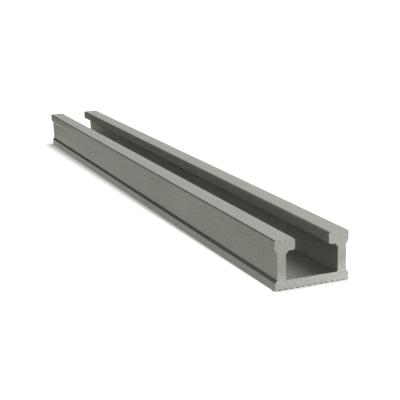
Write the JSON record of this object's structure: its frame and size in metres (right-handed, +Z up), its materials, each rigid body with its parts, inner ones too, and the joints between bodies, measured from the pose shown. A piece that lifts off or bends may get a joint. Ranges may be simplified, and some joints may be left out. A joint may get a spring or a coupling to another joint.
{
  "type": "aluminium t-track",
  "caption": "Straight extruded T-slot track with a hex-bolt channel under overhanging lips, bevelled heads and feet and a grooved underside; bolts slide along it head down.",
  "frame": {"origin": "middle of the underside, half way along the track", "axes": "+X across the track, +Y along it, +Z up from the underside to the heads"},
  "size_m": [0.019, 0.2, 0.012],
  "materials": {
    "anodised_aluminium": "extruded and clear anodised, satin, with both ends left as sawn"
  },
  "bodies": {
    "root": {"track_extrusion": "anodised_aluminium"}
  },
  "joints": []
}
